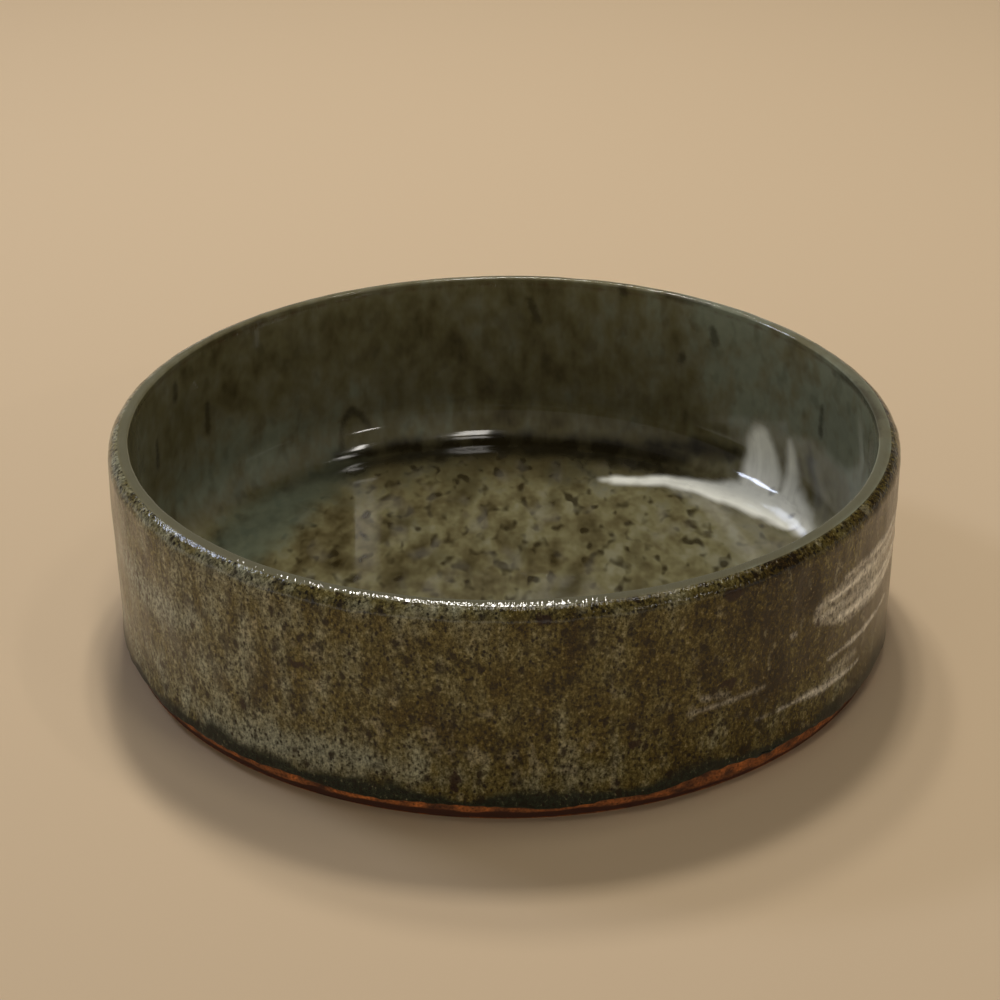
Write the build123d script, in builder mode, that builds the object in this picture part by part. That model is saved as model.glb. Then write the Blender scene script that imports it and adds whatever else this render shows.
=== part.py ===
import os
from math import cos, radians, sin

from build123d import *

os.makedirs("parts", exist_ok=True)

# A round, straight-sided flower basin of glazed stoneware, in millimetres.
# It is built up from rolled slabs: a floor disc, a wall strip standing on it and a coil pressed
# into the inside corner. White slip is brushed on, then a glaze is poured inside and outside.
# Origin: the middle of the standing ring, on the table. +Z is up.

# Overall sizes, measured over the glaze
bowl_diameter = 250.0
bowl_height = 68.0
lip_thickness = 6.6

# Clay slabs and the coats on them
floor_thickness = 5.3
glaze_thickness = 0.7
slip_thickness = 0.35

# Foot: a bevelled edge, a bare band above it and a scraped hollow inside a standing ring
foot_bevel_height = 3.5
foot_bevel_depth = 1.5
bare_band = 1.7
glaze_edge_round = 0.4
standing_ring_width = 16.0
underside_relief = 1.2
relief_shoulder_angle = 45.0

# Rounded inside corner, on the glaze, and the rounded edges of the clay lip
corner_radius = 14.0
lip_round_outside = 1.6
lip_round_inside = 1.0

# White slip on the inside: a brush stroke that starts as a thin tail on the floor and spreads out
# along the corner. Depths are measured in from the clay wall, azimuths are in degrees from +X.
stroke_tip_depth = 34.5
stroke_tip_azimuth = 65.0
stroke_far_depths = [25.0, 15.0, 5.0]
stroke_far_azimuths = [59.0, 50.0, 43.0]
stroke_near_depths = [29.0, 26.0, 21.0, 15.0]
stroke_near_azimuths = [53.0, 41.0, 29.0, 20.0]
stroke_end_depth = 3.0
stroke_end_azimuth = 22.0
stroke_height = 9.0

# Two fingers of the same stroke run up the wall, with their heights above the clay floor
finger_heights = [24.0, 22.5]
finger_first_azimuths = [35.0, 29.0]
finger_last_azimuths = [42.0, 32.0]
finger_root_depth = 14.0
finger_overrun = 2.0

# White slip on the outside: bristle trails round the wall, with the distance of each one's middle
# below the lip, its width and the azimuths where it starts and ends
trail_drops = [16.5, 21.0, 25.5, 30.5, 41.0, 50.0]
trail_widths = [2.2, 3.6, 2.6, 4.6, 1.4, 1.6]
trail_first_azimuths = [-33.0, -42.0, -45.0, -47.0, -39.0, -52.0]
trail_last_azimuths = [2.0, 8.0, 5.0, -12.0, -16.0, -30.0]

# The closing seam of the outside glaze is at the back, away from the trails
glaze_seam_azimuth = 180.0

# Radii and levels that follow from the sizes above
outer_radius = bowl_diameter / 2
inner_radius = outer_radius - lip_thickness
clay_outer_radius = outer_radius - glaze_thickness
clay_inner_radius = inner_radius + glaze_thickness
clay_top = bowl_height - glaze_thickness
floor_level = floor_thickness + glaze_thickness
glaze_line = foot_bevel_height + bare_band
lip_middle = (outer_radius + inner_radius) / 2
coil_radius = corner_radius + glaze_thickness
relief_radius = clay_outer_radius - foot_bevel_depth - standing_ring_width


def from_wall(depth, azimuth):
    reach = clay_inner_radius - depth
    return (reach * cos(radians(azimuth)), reach * sin(radians(azimuth)))


# Floor disc of rolled clay, bevelled at the foot and hollowed underneath so that it can't rock
with BuildPart() as floor_slab:
    with BuildSketch(Plane.XY):
        Circle(clay_outer_radius)
    extrude(amount=floor_thickness)
    chamfer(
        floor_slab.edges().group_by(Axis.Z)[0],
        length=foot_bevel_height,
        length2=foot_bevel_depth,
        reference=floor_slab.faces().filter_by(GeomType.CYLINDER)[0],
    )
    with BuildSketch(Plane.XY):
        Circle(relief_radius)
    extrude(amount=underside_relief, taper=relief_shoulder_angle, mode=Mode.SUBTRACT)

floor_slab.part.label = "floor_slab"
export_step(floor_slab.part, "parts/floor_slab.step")


# Wall strip closed into a ring, standing on the floor disc, with a rounded lip
with BuildPart() as wall:
    with BuildSketch(Plane.XY.offset(floor_thickness)):
        Circle(clay_outer_radius)
        Circle(clay_inner_radius, mode=Mode.SUBTRACT)
    extrude(amount=clay_top - floor_thickness)
    lip_edges = wall.edges().group_by(Axis.Z)[-1].sort_by(SortBy.RADIUS)
    fillet(lip_edges[-1], radius=lip_round_outside)
    lip_edges = wall.edges().group_by(Axis.Z)[-1].sort_by(SortBy.RADIUS)
    fillet(lip_edges[0], radius=lip_round_inside)

wall.part.label = "wall"
export_step(wall.part, "parts/wall.step")


# Coil pressed and smoothed into the corner between the floor disc and the wall
with BuildPart() as corner_coil:
    with BuildSketch(Plane.XZ):
        with BuildLine():
            arc_middle = (clay_inner_radius - coil_radius, floor_thickness + coil_radius)
            hollow = CenterArc(arc_middle, coil_radius, start_angle=270, arc_size=90)
            Polyline(hollow @ 0, (clay_inner_radius, floor_thickness), hollow @ 1)
        make_face()
    revolve(axis=Axis.Z)

corner_coil.part.label = "corner_coil"
export_step(corner_coil.part, "parts/corner_coil.step")


# Brush stroke of white slip on the floor, round the corner and up the wall in two fingers:
# the stroke's outline seen from above is cut down to a thin coat on the clay
with BuildPart() as slip_inside:
    with BuildSketch(Plane.XY.offset(floor_thickness)):
        with BuildLine():
            tip = from_wall(stroke_tip_depth, stroke_tip_azimuth)
            end = from_wall(stroke_end_depth, stroke_end_azimuth)
            far_edge = Spline(tip, *map(from_wall, stroke_far_depths, stroke_far_azimuths))
            near_edge = Spline(tip, *map(from_wall, stroke_near_depths, stroke_near_azimuths))
            Polyline(far_edge @ 1, end, near_edge @ 1)
        make_face()
    extrude(amount=stroke_height)
    for height, first_azimuth, last_azimuth in zip(
        finger_heights, finger_first_azimuths, finger_last_azimuths
    ):
        with BuildSketch(Plane.XY.offset(floor_thickness)):
            Polygon(
                from_wall(finger_root_depth, first_azimuth),
                from_wall(-finger_overrun, first_azimuth),
                from_wall(-finger_overrun, last_azimuth),
                from_wall(finger_root_depth, last_azimuth),
                align=None,
            )
        extrude(amount=height)
    with BuildSketch(Plane.XZ):
        with BuildLine():
            clay_side = FilletPolyline(
                (0, floor_thickness),
                (clay_inner_radius, floor_thickness),
                (clay_inner_radius, clay_top),
                radius=coil_radius,
            )
            glaze_side = FilletPolyline(
                (0, floor_thickness + slip_thickness),
                (clay_inner_radius - slip_thickness, floor_thickness + slip_thickness),
                (clay_inner_radius - slip_thickness, clay_top),
                radius=coil_radius - slip_thickness,
            )
            Line(clay_side @ 0, glaze_side @ 0)
            Line(clay_side @ 1, glaze_side @ 1)
        make_face()
    revolve(axis=Axis.Z, mode=Mode.INTERSECT)

slip_inside.part.label = "slip_inside"
export_step(slip_inside.part, "parts/slip_inside.step")


# Trails of white slip that the brush's bristles left round the outside of the wall
with BuildPart() as slip_outside:
    for drop, width, first_azimuth, last_azimuth in zip(
        trail_drops, trail_widths, trail_first_azimuths, trail_last_azimuths
    ):
        with BuildSketch(Plane.XZ.rotated((0, 0, first_azimuth))):
            with Locations((clay_outer_radius, bowl_height - drop)):
                Rectangle(slip_thickness, width, align=(Align.MIN, Align.CENTER))
        revolve(axis=Axis.Z, revolution_arc=last_azimuth - first_azimuth)

slip_outside.part.label = "slip_outside"
export_step(slip_outside.part, "parts/slip_outside.step")


# Glaze poured inside: over the floor, the corner and the wall, up to the middle of the lip
with BuildPart() as glaze_inside:
    with BuildSketch(Plane.XZ):
        with BuildLine():
            clay_side = FilletPolyline(
                (0, floor_thickness),
                (clay_inner_radius, floor_thickness),
                (clay_inner_radius, clay_top),
                (lip_middle, clay_top),
                radius=[coil_radius, lip_round_inside],
            )
            air_side = FilletPolyline(
                (0, floor_level),
                (inner_radius, floor_level),
                (inner_radius, bowl_height),
                (lip_middle, bowl_height),
                radius=[corner_radius, lip_round_inside + glaze_thickness],
            )
            Line(clay_side @ 0, air_side @ 0)
            Line(clay_side @ 1, air_side @ 1)
        make_face()
    revolve(axis=Axis.Z)
    add(slip_inside.part, mode=Mode.SUBTRACT)

glaze_inside.part.label = "glaze_inside"
export_step(glaze_inside.part, "parts/glaze_inside.step")


# Glaze poured outside: from the middle of the lip down to a rounded edge above the bare foot
with BuildPart() as glaze_outside:
    with BuildSketch(Plane.XZ.rotated((0, 0, glaze_seam_azimuth))):
        with BuildLine():
            clay_side = FilletPolyline(
                (lip_middle, clay_top),
                (clay_outer_radius, clay_top),
                (clay_outer_radius, glaze_line),
                radius=lip_round_outside,
            )
            air_side = FilletPolyline(
                (lip_middle, bowl_height),
                (outer_radius, bowl_height),
                (outer_radius, glaze_line),
                (clay_outer_radius, glaze_line),
                radius=[lip_round_outside + glaze_thickness, glaze_edge_round],
            )
            Line(clay_side @ 0, air_side @ 0)
        make_face()
    revolve(axis=Axis.Z)
    add(slip_outside.part, mode=Mode.SUBTRACT)

glaze_outside.part.label = "glaze_outside"
export_step(glaze_outside.part, "parts/glaze_outside.step")
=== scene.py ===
import math
from functools import partial
import bpy
import numpy as np
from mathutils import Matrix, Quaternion, Vector


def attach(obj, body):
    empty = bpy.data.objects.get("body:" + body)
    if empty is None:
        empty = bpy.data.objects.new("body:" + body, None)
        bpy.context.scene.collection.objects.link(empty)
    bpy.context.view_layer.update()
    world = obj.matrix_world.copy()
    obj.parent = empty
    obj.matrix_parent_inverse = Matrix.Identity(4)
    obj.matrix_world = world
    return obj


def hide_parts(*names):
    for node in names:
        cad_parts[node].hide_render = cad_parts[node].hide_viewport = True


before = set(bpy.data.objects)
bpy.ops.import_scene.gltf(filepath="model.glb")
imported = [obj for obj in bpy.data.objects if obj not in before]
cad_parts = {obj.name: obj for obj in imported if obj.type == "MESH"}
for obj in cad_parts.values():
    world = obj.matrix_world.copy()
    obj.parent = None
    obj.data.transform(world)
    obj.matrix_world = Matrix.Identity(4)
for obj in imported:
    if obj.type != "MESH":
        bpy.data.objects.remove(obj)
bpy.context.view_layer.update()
print("frame loaded:", sorted(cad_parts))

mm = 0.001


def linearColour(hexText):
    # sRGB hex to linear RGBA, by the sRGB transfer curve
    parts = np.array([int(hexText[i:i + 2], 16) for i in (1, 3, 5)]) / 255
    linear = np.where(parts <= 0.04045, parts / 12.92, ((parts + 0.055) / 1.055) ** 2.4)
    return (*(float(c) for c in linear), 1.0)


def addNode(tree, kind, inputs=None, stops=None, **settings):
    # one node: its settings, then its sockets, each set to a value or linked to a socket or to another
    # node's first output
    node = tree.nodes.new("ShaderNode" + kind)
    for name, value in settings.items():
        setattr(node, name, value)
    for key, value in (inputs or {}).items():
        if isinstance(value, bpy.types.Node):
            value = next(socket for socket in value.outputs if socket.enabled)
        if isinstance(value, bpy.types.NodeSocket):
            tree.links.new(value, node.inputs[key])
        else:
            isHex = isinstance(value, str) and value.startswith("#")
            node.inputs[key].default_value = linearColour(value) if isHex else value
    for index, (place, colour) in enumerate(stops or []):
        ramp = node.color_ramp.elements
        stop = ramp[index] if index < 2 else ramp.new(place)
        stop.position = place
        stop.color = linearColour(colour)
    return node


def emptyNodes(owner):
    # clears the nodes of a material or a world, and gives the function that adds to them
    owner.use_nodes = True
    owner.node_tree.nodes.clear()
    return partial(addNode, owner.node_tree)


def newMaterial(name):
    material = bpy.data.materials.new(name)
    return material, emptyNodes(material)


def ringOf(node):
    # smallest and largest radius and lowest and highest z of a CAD node, from its own vertices
    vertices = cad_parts[node].data.vertices
    points = np.zeros(len(vertices) * 3)
    vertices.foreach_get("co", points)
    points = points.reshape(-1, 3)
    reach = np.hypot(points[:, 0], points[:, 1])
    return reach.min(), reach.max(), points[:, 2].min(), points[:, 2].max()


# The basin's main sizes, all read from the frame
clayInner, clayOuter, clayFloor, clayTop = ringOf("wall")
lipMiddle = ringOf("glaze_inside")[1]
outerRadius, lipTop = ringOf("glaze_outside")[1], ringOf("glaze_outside")[3]
coat = outerRadius - clayOuter
innerRadius = clayInner - coat
floorTop = clayFloor + coat
coilHeight = ringOf("corner_coil")[3] - ringOf("corner_coil")[2]
cornerRadius = coilHeight - coat

# Shapes that a box can't tell: the lip's long outward rounding, an oval so far across and down, and the
# foot's bevel. The rest of the lip's thickness is the small rounding inside
edges = {
    "lipAcross": 5.6 * mm,
    "lipDown": 4.8 * mm,
    "bevelHeight": 3.5 * mm,
    "bevelDepth": 1.5 * mm,
}

lipAcross, lipDown = edges["lipAcross"], edges["lipDown"]
crest = (outerRadius - lipAcross, lipTop - lipDown)
lipInside = outerRadius - innerRadius - lipAcross
meetTurn = math.degrees(math.acos((lipMiddle - crest[0]) / lipAcross))
clayMeetTurn = math.degrees(math.acos((lipMiddle - crest[0]) / (lipAcross - coat)))

# How far the hand-made lip strays from true: slow waves of (turns, height in mm, phase), rises and one
# thicker place, each (azimuth, half width in degrees, height), and lumps of glaze, a wave noise of (height,
# seed, longest wave, shortest wave). Lift and lumps start at a share of the height. The thicker place and
# the crown, where the glaze is smooth, start and are full at two drops below the top. The crown fades on
# the far side: azimuth, half width, share
hand = {
    "lipWaves": [(2, 0.08, 0.7), (3, 0.06, 4.1), (5, 0.04, 1.3)],
    "lipRises": [(-75, 75, 0.7 * mm), (84, 40, 0.9 * mm)],
    "lipSwell": (5, 55, 0.7 * mm),
    "swellFrom": (22 * mm, 3 * mm),
    "lipLumps": (0.07 * mm, 31, 26 * mm, 9 * mm),
    "lumpsFrom": 0.9,
    "liftFrom": 0.3,
    "calmBelowLip": 6.0 * mm,
    "crown": (0.7 * mm, 0.1 * mm),
    "crownFades": (90, 75, 0.75),
}

poleRadius = 1.0 * mm  # the small ring that a fan of triangles closes at the middle
hair = 0.001 * mm  # less than any real size
runStretch = np.array([1.0, 1.0, 0.2])  # runs of glaze are five times as long as they are wide
sharpTurn = 40  # degrees past which an edge stays crisp


def waveNoise(points, height, seed, longest, shortest, count=60):
    # the sum of plane waves in random directions, their lengths spread evenly in octaves between
    # longest and shortest, longer ones stronger; scaled so that it mostly lies within the height, up and down
    usualPeak = 1.6  # in spreads of the sum
    rng = np.random.default_rng(seed)
    lengths = np.exp(rng.uniform(math.log(shortest), math.log(longest), count))
    directions = rng.normal(size=(count, 3))
    directions /= np.linalg.norm(directions, axis=1, keepdims=True)
    phases = rng.uniform(0, 2 * math.pi, count)
    strengths = np.sqrt(lengths / longest)
    total = np.zeros(points.shape[:-1])
    for length, direction, phase, strength in zip(lengths, directions, phases, strengths):
        total += strength * np.cos(points @ direction * (2 * math.pi / length) + phase)
    return height * (total / (usualPeak * np.sqrt((strengths ** 2).sum() / 2)))


def smoothStep(low, high, value):
    # 0 at low and 1 at high, with an S-shaped rise between them
    share = np.clip((value - low) / (high - low), 0, 1)
    return share * share * (3 - 2 * share)


def softBand(value, start, full, fade, end):
    # rises from 0 to 1 between start and full, and falls to 0 again between fade and end
    return smoothStep(start, full, value) * (1 - smoothStep(fade, end, value))


def roundHump(points, azimuth, halfWidth):
    # 1 at an azimuth, falling to nothing on both sides of it
    away = np.degrees(np.arctan2(points[..., 1], points[..., 0])) - azimuth
    return np.exp(-(((away + 180) % 360 - 180) / halfWidth) ** 2)


def handWarp(points):
    # a lip that rises and falls in slow waves, and the wall under it with less and less of that
    azimuth = np.arctan2(points[..., 1], points[..., 0])
    lift = sum(high * mm * np.cos(turns * azimuth + phase) for turns, high, phase in hand["lipWaves"])
    for place, halfWidth, high in hand["lipRises"]:
        lift = lift + high * roundHump(points, place, halfWidth)
    warped = points.copy()
    warped[..., 2] += lift * smoothStep(hand["liftFrom"], 1.0, points[..., 2] / lipTop)
    return warped


def lipCrown(points):
    # how far each point lies on the crown of the lip
    start, full = hand["crown"]
    place, halfWidth, share = hand["crownFades"]
    crown = smoothStep(lipTop - start, lipTop - full, points[..., 2])
    return crown * (1 - share * roundHump(points, place, halfWidth))


def lipLumps(points):
    # lumps of glaze on the lip, the same on both coats so that they meet without a step
    high = smoothStep(hand["lumpsFrom"], 1.0, points[..., 2] / lipTop)
    return high * waveNoise(points, *hand["lipLumps"])


def ovalPoints(centre, across, up, fromDeg, toDeg, count):
    # part of an oval: the centre plus across times the cosine and up times the sine of even angles
    angles = np.radians(np.linspace(fromDeg, toDeg, count))
    return np.stack([centre[0] + across * np.cos(angles), centre[1] + up * np.sin(angles)], axis=1)


def arcPoints(centre, radius, fromDeg, toDeg, count):
    return ovalPoints(centre, radius, radius, fromDeg, toDeg, count)


def linePoints(start, end, count):
    return np.linspace(start, end, count)


def joinProfile(*stretches):
    # runs of (radius, z) points laid end to end, without the doubled points where they meet
    return np.concatenate([stretches[0]] + [s[1:] for s in stretches[1:]])


def turnedPoints(profile, columns):
    # a profile of (radius, z) points carried round the axis: rows follow the profile, columns go round
    azimuth = np.arange(columns) / columns * 2 * math.pi
    radius, height = profile[:, :1], profile[:, 1:]
    across, along = radius * np.cos(azimuth), radius * np.sin(azimuth)
    return np.stack([across, along, np.broadcast_to(height, across.shape)], axis=-1)


def gridMesh(name, points, closed, material, attributes=None):
    # rows of points joined by quads, each row a closed ring; closed joins the last row to the first,
    # and otherwise the first and last rows are capped by a fan of triangles on one middle point
    rows, columns = points.shape[:2]
    vertices = points.reshape(-1, 3)
    row = np.arange(rows if closed else rows - 1)[:, None]
    ring = np.arange(columns)
    step = (ring + 1) % columns
    here, after = row * columns, ((row + 1) % rows) * columns
    faces = np.stack([here + ring, here + step, after + step, after + ring], axis=-1).reshape(-1, 4).tolist()
    values = {
        key: np.asarray(field, float).reshape(len(vertices), -1)
        for key, field in (attributes or {}).items()
    }
    if not closed:
        firstPole, lastPole = len(vertices), len(vertices) + 1
        vertices = np.vstack([vertices, points[0].mean(0), points[-1].mean(0)])
        end = (rows - 1) * columns
        faces += np.stack([np.full(columns, firstPole), step, ring], axis=-1).tolist()
        faces += np.stack([np.full(columns, lastPole), end + ring, end + step], axis=-1).tolist()
        values = {
            key: np.vstack([field, field[:columns].mean(0), field[-columns:].mean(0)])
            for key, field in values.items()
        }
    mesh = bpy.data.meshes.new(name)
    mesh.from_pydata(vertices.tolist(), [], faces)
    mesh.validate()
    mesh.shade_smooth()
    mesh.set_sharp_from_angle(angle=math.radians(sharpTurn))
    for key, field in values.items():
        kind = "FLOAT" if field.shape[1] == 1 else "FLOAT_VECTOR"
        layer = mesh.attributes.new(key, kind, "POINT")
        layer.data.foreach_set("value" if kind == "FLOAT" else "vector", field.ravel().astype(np.float32))
    mesh.materials.append(material)
    piece = bpy.data.objects.new(name, mesh)
    bpy.context.scene.collection.objects.link(piece)
    return piece


def nearestMark(points, mark):
    # for one mark, a run of (point, half width): how far inside it each point lies, in metres, which is
    # the half width less the distance to its middle line, and how far along and across the mark that is
    best = np.full(points.shape[:-1], -1.0)
    brush = np.zeros(points.shape)
    reach = np.hypot(points[..., 0], points[..., 1])[..., None] + hair * hair
    facing = np.concatenate([-points[..., :2] / reach, np.ones(reach.shape)], axis=-1)
    travelled = 0.0
    for (start, startHalf), (end, endHalf) in zip(mark[:-1], mark[1:]):
        span = end - start
        length = np.linalg.norm(span)
        share = np.clip((points - start) @ span / length ** 2, 0, 1)
        offset = points - start - share[..., None] * span
        distance = np.linalg.norm(offset, axis=-1)
        inside = startHalf + (endHalf - startHalf) * share - distance
        side = np.sign((offset * np.cross(span, facing)).sum(-1))
        nearer = inside > best
        best = np.where(nearer, inside, best)
        brush[..., 0] = np.where(nearer, travelled + share * length, brush[..., 0])
        brush[..., 1] = np.where(nearer, side * distance, brush[..., 1])
        travelled += length
    return best, brush


def brushField(points, marks, soft, stray):
    # how white the slip is under each point: the strongest mark there, with a soft edge that wanders; and
    # the place along and across that mark, for the bristle pattern
    white = np.zeros(points.shape[:-1])
    brush = np.zeros(points.shape)
    wander = waveNoise(points, *stray)
    for weight, mark in marks:
        inside, place = nearestMark(points, mark)
        cover = weight * smoothStep(-soft, soft, inside + wander)
        stronger = cover > white
        white = np.where(stronger, cover, white)
        brush = np.where(stronger[..., None], place, brush)
    return white, brush


def markField(points, marks):
    # how far inside the nearest of some marks each point lies, in mm
    return np.maximum.reduce([nearestMark(points, mark)[0] for mark in marks]) / mm


def outsidePoint(azimuth, height):
    turn = math.radians(azimuth)
    return np.array([outerRadius * math.cos(turn), outerRadius * math.sin(turn), height * mm])


def insidePoint(azimuth, path):
    # a place on the inside, from its azimuth and its path length in mm: out along the floor from the
    # middle, round the corner and up the wall
    turn, path = math.radians(azimuth), path * mm
    flat = innerRadius - cornerRadius
    bend = min(max(path - flat, 0) / cornerRadius, math.pi / 2)
    reach = min(path, flat) + cornerRadius * math.sin(bend)
    climb = max(path - flat - cornerRadius * math.pi / 2, 0)
    height = floorTop + cornerRadius * (1 - math.cos(bend)) + climb
    return np.array([reach * math.cos(turn), reach * math.sin(turn), height])


def profileNormals(profile, towards):
    # unit normals of a profile in its own plane, at right angles to its run, on the side named
    run = np.gradient(profile, axis=0)
    normal = np.stack([run[:, 1], -run[:, 0]], axis=1) * towards
    return normal / np.linalg.norm(normal, axis=1, keepdims=True)


def pushOut(points, normals, amount):
    # moves each point along its profile's normal, turned to the point's own azimuth
    azimuth = np.arctan2(points[..., 1], points[..., 0])
    outward = normals[:, 0][:, None] * amount
    moved = points.copy()
    moved[..., 0] += outward * np.cos(azimuth)
    moved[..., 1] += outward * np.sin(azimuth)
    moved[..., 2] += normals[:, 1][:, None] * amount
    return moved


# Stoneware with iron in it, rolled, scraped and fired bare: matt, toasted orange where the fire reached it
# beside the glaze, brown elsewhere, with grog grains and dark iron specks. The bevel's tone is painted shade
# on its face that looks down to the table. The tones stand at levels of the patch noise. Grog darkens and
# lightens: noise from, to, shade from, to. A speck: full and outer radius as shares of its cell, strength
stonewareLook = {
    "tones": [(0.32, "#4a2a16"), (0.68, "#b96a30"), (0.48, "#8a5128")],
    "dark": "#4a2a16",
    "bevel": "#421f0e",
    "patchSize": 5 * mm,
    "patchDetail": 4.0,
    "grogSize": 0.8 * mm,
    "grogDetail": 3.0,
    "grogShade": (0.3, 0.7, 0.45, 1.5),
    "grogHeight": 0.06 * mm,
    "speckCell": 1.7 * mm,
    "speck": (0.12, 0.24, 0.8),
    "roughness": 0.86,
    "ior": 1.5,
}


def stonewareMaterial():
    look = stonewareLook
    material, add = newMaterial("stonewareBareFired")
    coords = add("TexCoord").outputs["Object"]
    patches, grog = (
        add("TexNoise", {"Vector": coords, "Scale": 1 / look[size], "Detail": look[detail]})
        for size, detail in (("patchSize", "patchDetail"), ("grogSize", "grogDetail"))
    )
    tone = add("ValToRGB", {"Fac": patches}, stops=look["tones"])
    start, full, low, high = look["grogShade"]
    shade = add("MapRange", {"Value": grog, 1: start, 2: full, 3: low, 4: high})
    grained = add("Mix", {0: 1.0, 6: tone, 7: shade}, data_type="RGBA", blend_type="MULTIPLY")
    cells = add("TexVoronoi", {"Vector": coords, "Scale": 1 / look["speckCell"]})
    core, rim, strength = look["speck"]
    specks = add("MapRange", {"Value": cells, 1: core, 2: rim, 3: strength, 4: 0.0})
    speckled = add("Mix", {0: specks, 6: grained, 7: look["dark"]}, data_type="RGBA")
    # painted shade: the bevel's face, turned down to the table, takes a darker tone
    shaded = add("Attribute", attribute_name="bevelShadeShare").outputs["Fac"]
    withBevelShade = add("Mix", {0: shaded, 6: speckled, 7: look["bevel"]}, data_type="RGBA")
    height = add("Math", {0: grog, 1: look["grogHeight"]}, operation="MULTIPLY")
    bump = add("Bump", {"Height": height, "Distance": 1.0, "Strength": 1.0})
    shader = add("BsdfPrincipled", {
        "Base Color": withBevelShade, "Roughness": look["roughness"], "IOR": look["ior"],
        "Normal": bump,
    })
    add("OutputMaterial", {"Surface": shader})
    return material


# White slip, brushed on thin: chalky and matt, with fine brush lines that lie flat, drawn out sideways
slipLook = {
    "tones": [(0.35, "#a59c86"), (0.6, "#d9d5c6")],
    "lineSize": 1.2 * mm,
    "lineDrawn": (0.1, 0.1, 1.0),
    "lineDetail": 3.0,
    "roughness": 0.75,
    "ior": 1.5,
}


def slipMaterial():
    look = slipLook
    material, add = newMaterial("whiteSlipBrushed")
    coords = add("TexCoord").outputs["Object"]
    space = add("Mapping", {"Vector": coords, "Scale": look["lineDrawn"]})
    lines = add("TexNoise", {"Vector": space, "Scale": 1 / look["lineSize"], "Detail": look["lineDetail"]})
    tone = add("ValToRGB", {"Fac": lines}, stops=look["tones"])
    shader = add("BsdfPrincipled", {
        "Base Color": tone, "Roughness": look["roughness"], "IOR": look["ior"],
    })
    add("OutputMaterial", {"Surface": shader})
    return material


# Wood-ash glaze, poured over the speckled clay and the slip: a glassy olive skin that runs brown where it
# is thin, grey-green where it is thick and bottle green where it gathers. Iron bleeds through in dark specks.
# A noise is: size, stretch along z, detail, roughness, all drawn out front to back by along. Swings say how
# much each one moves the glaze depth, whose tones run from thin to thick.
# A blot is: size, stretch along z, the noise level where it starts and where it is full, strength, colour.
# A speck family is: cell size, speck radius as a share of the cell, its solid core as a share of that radius,
# stretch along z, share of cells that hold a speck, strength, colour.
# Edge breaks and glints start and are full at two levels of the grain, with a strength, and a glint has a
# colour; the glints are painted highlights, pale specks for small sparkles of light. Shades are: noise from
# and to, shade from and to. Large iron marks are ragged by ironRag mm and fade in from and to so many mm,
# with a strength. The bristle lines have a size and a stretch along the brush. lipGloss scales the roughness
# on the lip
outsideLook = {
    "tones": [(0.0, "#281c05"), (1.0, "#868773"), (0.3, "#4b4017"), (0.5, "#5a522d"), (0.74, "#706d54")],
    "poolAndShadeTone": "#1d2318",
    "celadonTone": "#85897b",
    "lipTone": "#64614e",
    "edgeTone": "#2a1a0a",
    "edgeBreak": (0.62, 0.75, 0.12),
    "blotDetail": 3.0,
    "noises": {
        "patch": (28 * mm, 0.8, 3.0, 0.6),
        "mottle": (8 * mm, 0.65, 3.0, 0.6),
        "run": (5 * mm, 0.18, 3.0, 0.5),
        "grain": (1.2 * mm, 0.75, 4.0, 0.8),
        "peel": (1.5 * mm, 1.0, 1.0, 0.5),
        "ragged": (2.6 * mm, 0.8, 3.0, 0.6),
    },
    "swings": {"patch": 0.4, "mottle": 1.1, "run": 0.6, "grain": 0.7},
    "grainShade": (0.35, 0.65, 0.14, 2.1),
    # glints: painted highlights
    "glints": [(0.58, 0.74, 0.7, "#a59a78")],
    "blots": [
        (10 * mm, 0.45, 0.55, 0.70, 0.5, "#2a1c07"),
        (4.5 * mm, 0.6, 0.58, 0.68, 0.65, "#1d1506"),
        (5.5 * mm, 0.7, 0.57, 0.71, 0.45, "#8f8970"),
    ],
    "specks": [
        (1.6 * mm, 0.36, 0.5, 0.75, 0.50, 0.9, "#140d04"),
        (0.9 * mm, 0.34, 0.5, 0.8, 0.45, 0.75, "#181106"),
        (3.8 * mm, 0.36, 0.5, 0.7, 0.32, 0.85, "#1b1005"),
    ],
    "slipTone": "#f2eee2",
    "slipCloud": (0.35, 0.6, 0.7, 1.1),
    "bristle": (2.2 * mm, 0.05),
    "bristleShade": (0.3, 0.7, 0.5, 1.3),
    "ironTone": "#25110a",
    "ironRag": 5.0,
    "ironFade": (-0.2, 0.8, 0.9),
    "along": 1.0,
    "peelHeight": 0.09 * mm,
    "grainHeight": 0.13 * mm,
    "roughness": (0.12, 0.24),
    "lipGloss": 0.35,
}
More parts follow.
